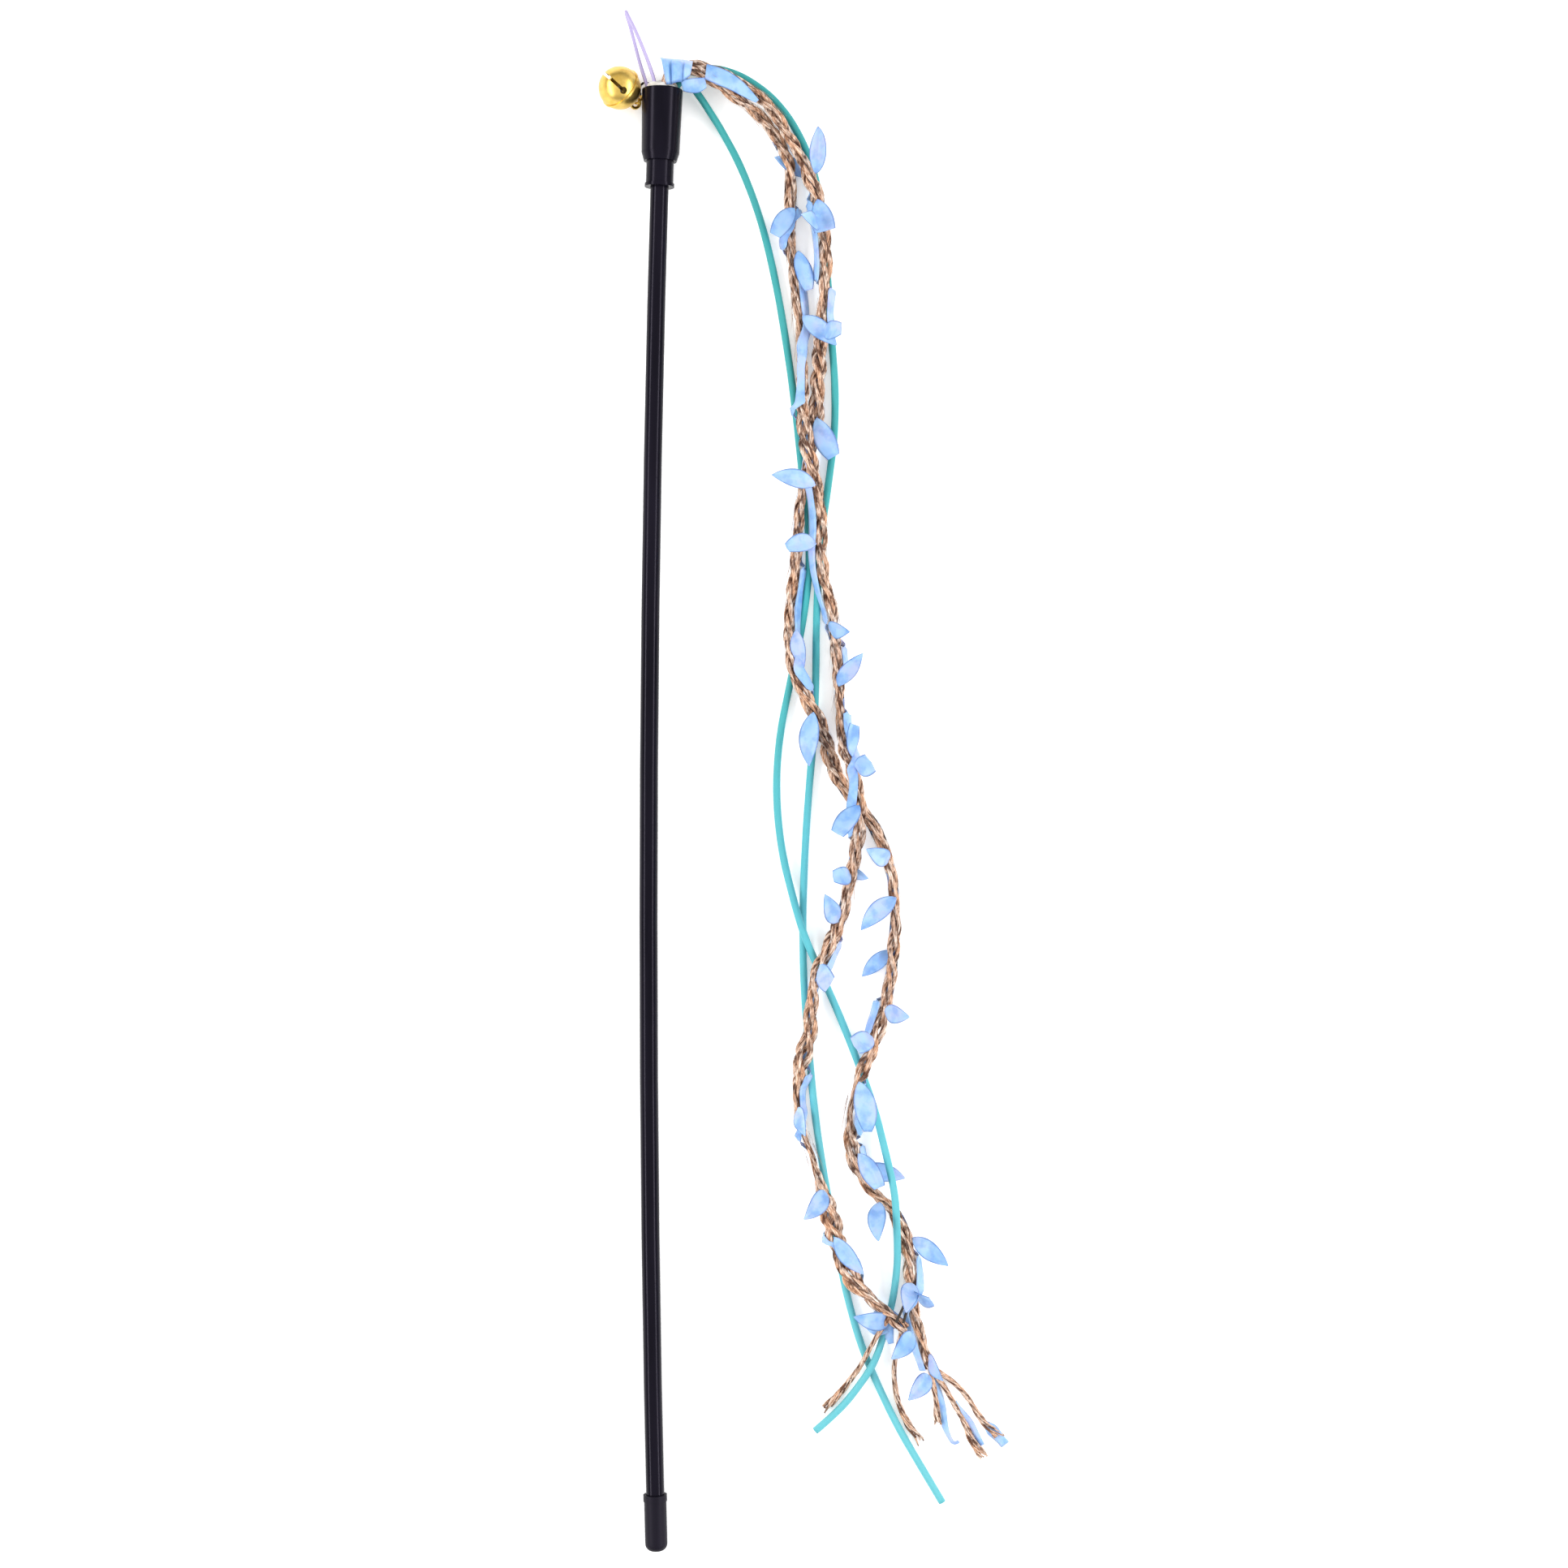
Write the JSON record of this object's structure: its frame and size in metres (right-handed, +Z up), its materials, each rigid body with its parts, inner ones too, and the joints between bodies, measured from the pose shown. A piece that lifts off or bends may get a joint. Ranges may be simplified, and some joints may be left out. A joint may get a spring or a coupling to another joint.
{
  "type": "cat teaser wand",
  "caption": "Slim black cat teaser wand with two leafy jute vines, two turquoise strings and a gold jingle bell at its tip.",
  "frame": {"origin": "on the floor under the middle of the wand's box, without its strands, loop and bell", "axes": "+Y along the wand from its butt to its tip, +Z up from the floor, +X towards the strands"},
  "size_m": [0.1128, 0.4209, 0.0212],
  "materials": {
    "rod_black": "satin black, lightly ribbed by its drawing",
    "cap_rubber": "matte black rubber",
    "cup_black": "glossy black",
    "glue": "cloudy set glue",
    "jute": "loosely twisted jute with loose fibres",
    "satin": "pale blue satin ribbon",
    "string_turquoise": "turquoise elastic string",
    "nylon": "clear nylon line",
    "thread": "dark twisted thread",
    "bell_gold": "bright gold plating",
    "pellet_steel": "plain steel ball"
  },
  "bodies": {
    "wand": {"rod": "rod_black", "end_cap": "cap_rubber", "neck_ferrule": "cup_black", "head_cup": "cup_black", "glue_plug": "glue", "vine_left_root": "jute", "vine_right_root": "jute", "string_left_root": "string_turquoise", "string_right_root": "string_turquoise", "root_wrap": "satin", "line_loop": "nylon", "bell_tether": "thread", "bell_ring": "bell_gold"},
    "streamers": {"vine_left_rope": "jute", "vine_left_ribbon": "satin", "vine_left_leaves": "satin", "vine_left_tails": "jute", "vine_right_rope": "jute", "vine_right_ribbon": "satin", "vine_right_leaves": "satin", "vine_right_tails": "jute", "string_left": "string_turquoise", "string_right": "string_turquoise"},
    "bell": {"bell_upper_shell": "bell_gold", "bell_lower_shell": "bell_gold", "bell_shank": "bell_gold"},
    "pellet": {"bell_pellet": "pellet_steel"}
  },
  "joints": [
    {"name": "streamer_swing", "type": "hinge", "parent": "wand", "child": "streamers", "pos_m": [0.0125, 0.2082, 0.0048], "axis": [0, 0, 1], "range_deg": [0, 60]},
    {"name": "bell_swing", "type": "hinge", "parent": "wand", "child": "bell", "pos_m": [-0.00712, 0.19724, 0.00171], "axis": [0.5285, -0.3964, 0.7507], "range_deg": [0, 35]},
    {"name": "pellet_roll", "type": "hinge", "parent": "bell", "child": "pellet", "pos_m": [-0.0112, 0.2003, 0.0062], "axis": [-0.6006, 0.4504, 0.6606], "continuous": true}
  ]
}
